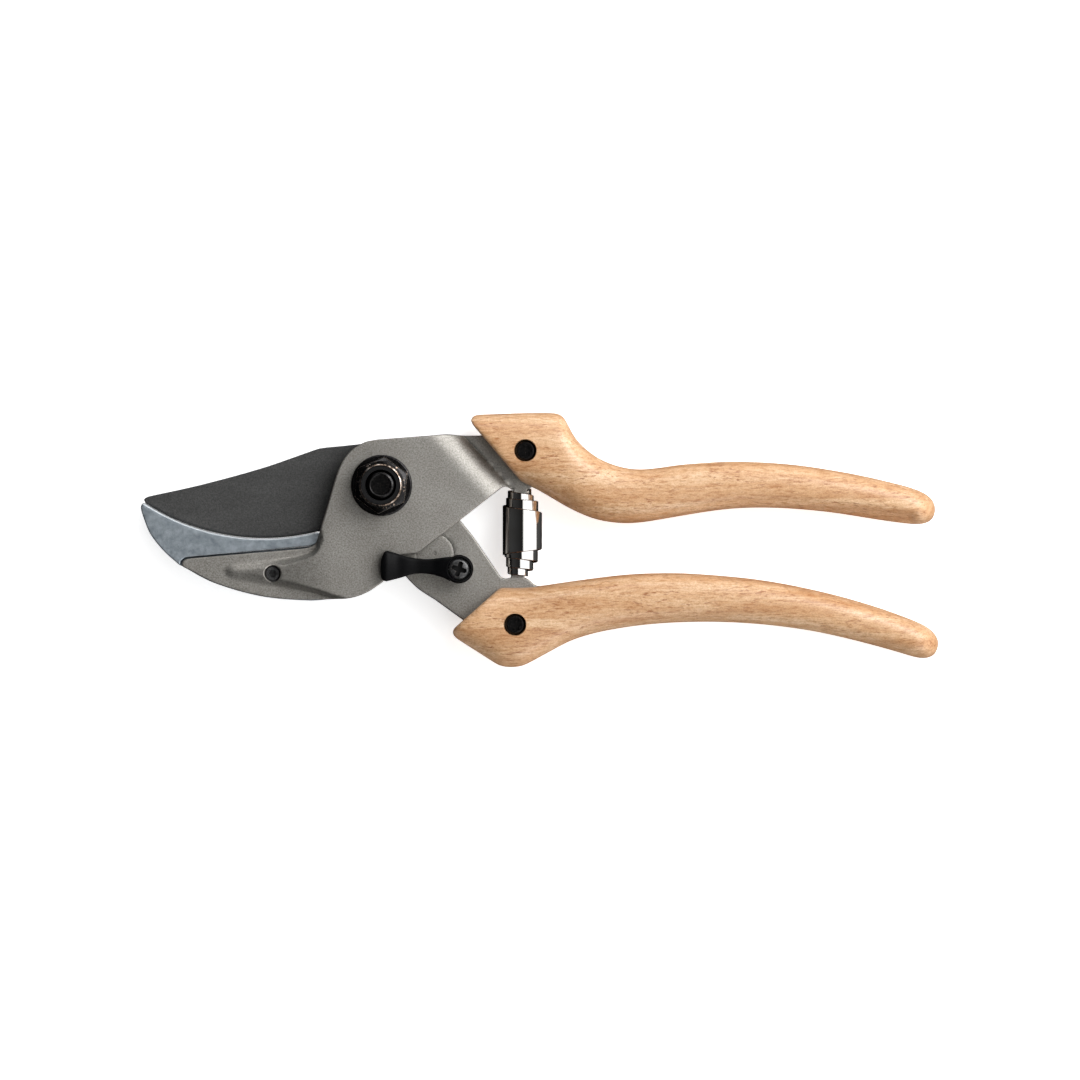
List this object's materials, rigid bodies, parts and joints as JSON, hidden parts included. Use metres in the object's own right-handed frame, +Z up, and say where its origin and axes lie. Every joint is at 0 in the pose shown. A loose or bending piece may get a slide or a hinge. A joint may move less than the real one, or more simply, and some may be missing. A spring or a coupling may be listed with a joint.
{
  "type": "pruning shears",
  "caption": "Anvil pruning shears lying flat and closed: plate levers crossing at a bolt, dark blade on a soft anvil, volute spring, swinging catch, wooden handles.",
  "frame": {"origin": "centre of the bottom of the bounding box, on the surface that the shears lie on", "axes": "+X along the shears from the jaws to the handle ends, +Z up through the pivot bolt from its head to its nut, +Y from the lower handle to the upper handle"},
  "size_m": [0.2096, 0.067, 0.0223],
  "materials": {
    "lever_steel": "fine blasted satin, warm grey",
    "anvil_alloy": "matt blue-grey, lightly mottled",
    "black_steel": "black oxide, semi-gloss",
    "insert_nylon": "matt",
    "bronze": "plain",
    "blade_coating": "matt dark non-stick coating, fine grain",
    "rivet_steel": "satin",
    "catch_plastic": "matt black",
    "spring_steel": "polished",
    "ash_wood": "pale ash with fine brown streaks, satin lacquer"
  },
  "bodies": {
    "anvil_side": {"anvil_lever": "lever_steel", "anvil": "anvil_alloy", "anvil_screw": "black_steel", "pivot_bolt": "black_steel", "pivot_washer": "black_steel", "pivot_nut": "black_steel", "nut_insert": "insert_nylon", "bearing_disc": "bronze", "upper_handle": "ash_wood", "upper_handle_screw": "black_steel", "upper_handle_nut": "black_steel", "volute_spring": "spring_steel"},
    "blade_side": {"blade_lever": "lever_steel", "blade": "blade_coating", "blade_rivet": "rivet_steel", "catch_washer": "spring_steel", "catch_screw": "black_steel", "lower_handle": "ash_wood", "lower_handle_screw": "black_steel", "lower_handle_nut": "black_steel"},
    "catch": {"catch": "catch_plastic"}
  },
  "joints": [
    {"name": "blade_pivot", "type": "hinge", "parent": "anvil_side", "child": "blade_side", "pos_m": [-0.04145, 0.01429, 0.0085], "axis": [0, 0, -1], "range_deg": [0, 20], "deforming": ["volute_spring"]},
    {"name": "catch_swing", "type": "hinge", "parent": "blade_side", "child": "catch", "pos_m": [-0.02115, -0.00761, 0.0085], "axis": [0, 0, 1], "range_deg": [0, 45]}
  ]
}
